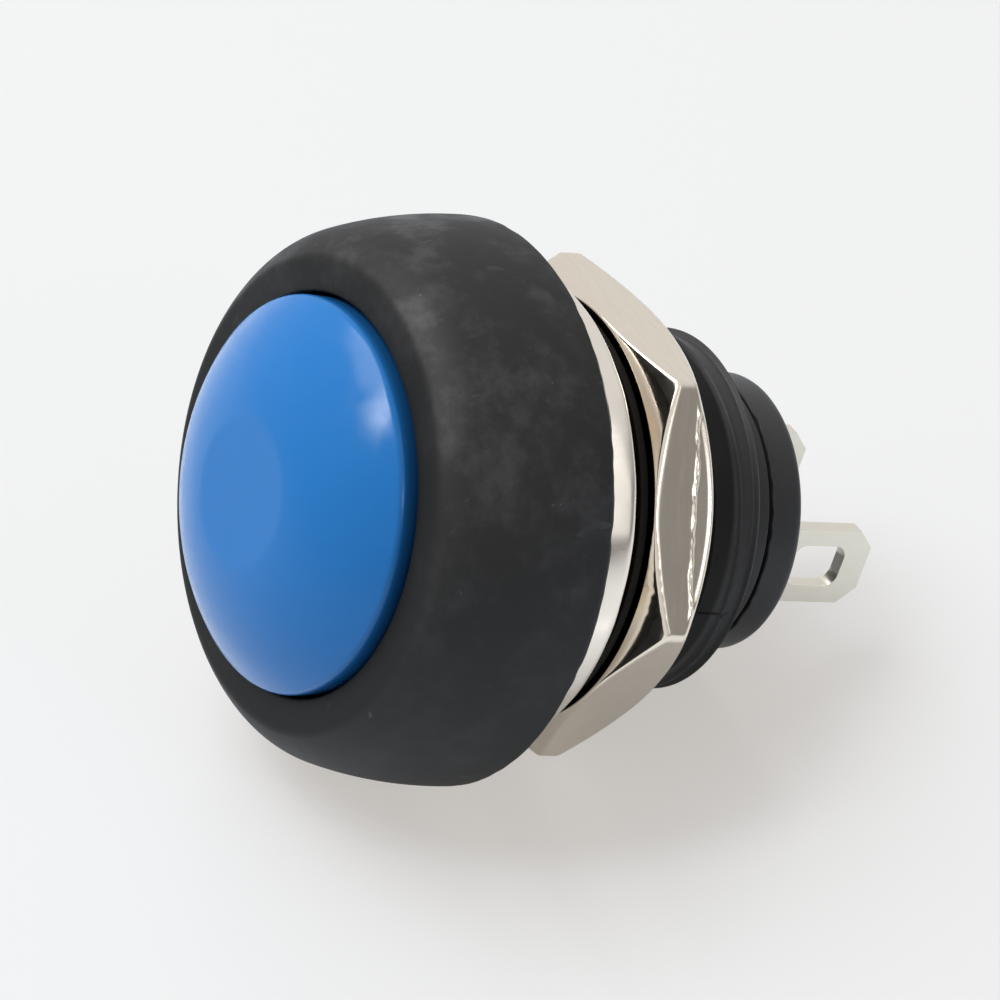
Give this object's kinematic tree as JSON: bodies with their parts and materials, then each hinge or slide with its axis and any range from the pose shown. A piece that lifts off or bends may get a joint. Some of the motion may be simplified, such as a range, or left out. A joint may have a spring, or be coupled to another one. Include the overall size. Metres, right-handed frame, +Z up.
{
  "type": "momentary push button switch",
  "caption": "Panel-mount push button switch with a domed cap in a round head, a threaded bushing with nut and lock washer, and solder lugs.",
  "frame": {"origin": "on the switch axis in the plane of the seat ring's rear face, where the front of the panel seats", "axes": "+Y along the axis from the button to the solder lugs, +Z up across the lugs' width, +X through a corner of the hexagon nut at rest"},
  "size_m": [0.0182, 0.0225, 0.0182],
  "materials": {
    "cap_plastic": "satin gloss",
    "head_rubber": "matte with fine dust",
    "body_plastic": "satin",
    "nickel_plate": "bright nickel, lightly brushed",
    "black_steel": "blackened spring steel",
    "seal_rubber": "matte",
    "plunger_plastic": "natural",
    "spring_steel": "drawn wire",
    "bridge_alloy": "rolled",
    "contact_silver": "satin silver",
    "tinned_brass": "bright tin plate",
    "potting_resin": "cast resin"
  },
  "bodies": {
    "housing": {"bushing": "body_plastic", "head_cover": "head_rubber", "seat_ring": "nickel_plate", "panel_seal": "seal_rubber", "base": "body_plastic", "potting": "potting_resin", "terminal_left": "tinned_brass", "terminal_right": "tinned_brass", "fixed_contact_left": "contact_silver", "fixed_contact_right": "contact_silver", "return_spring": "spring_steel"},
    "button": {"button_cap": "cap_plastic", "plunger": "plunger_plastic", "plunger_seal": "seal_rubber", "plunger_clip": "spring_steel", "bridge_clip": "spring_steel", "contact_spring": "spring_steel"},
    "bridge": {"contact_bridge": "bridge_alloy", "bridge_rivet_left": "contact_silver", "bridge_rivet_right": "contact_silver"},
    "washer": {"lock_washer": "black_steel"},
    "nut": {"hex_nut": "nickel_plate"}
  },
  "joints": [
    {"name": "button_press", "type": "slide", "parent": "housing", "child": "button", "axis": [0, 1, 0], "range_m": [0, 0.0018], "stiffness_N_per_m": 550, "springref_m": -0.0036, "deforming": ["return_spring"]},
    {"name": "bridge_slide", "type": "slide", "parent": "button", "child": "bridge", "axis": [0, 1, 0], "range_m": [-0.0005, 0], "deforming": ["contact_spring"]},
    {"name": "nut_travel", "type": "slide", "parent": "housing", "child": "washer", "axis": [0, 1, 0], "range_m": [-0.00064, 0.00265]},
    {"name": "nut_turn", "type": "hinge", "parent": "washer", "child": "nut", "pos_m": [0, 0, 0], "axis": [0, 1, 0], "range_deg": [-240, 970]}
  ],
  "couplings": [
    {"joint": "bridge_slide", "follows": "button_press", "ratio": -0.2777},
    {"joint": "nut_turn", "follows": "nut_travel", "rad_per_m": 6283.2}
  ]
}
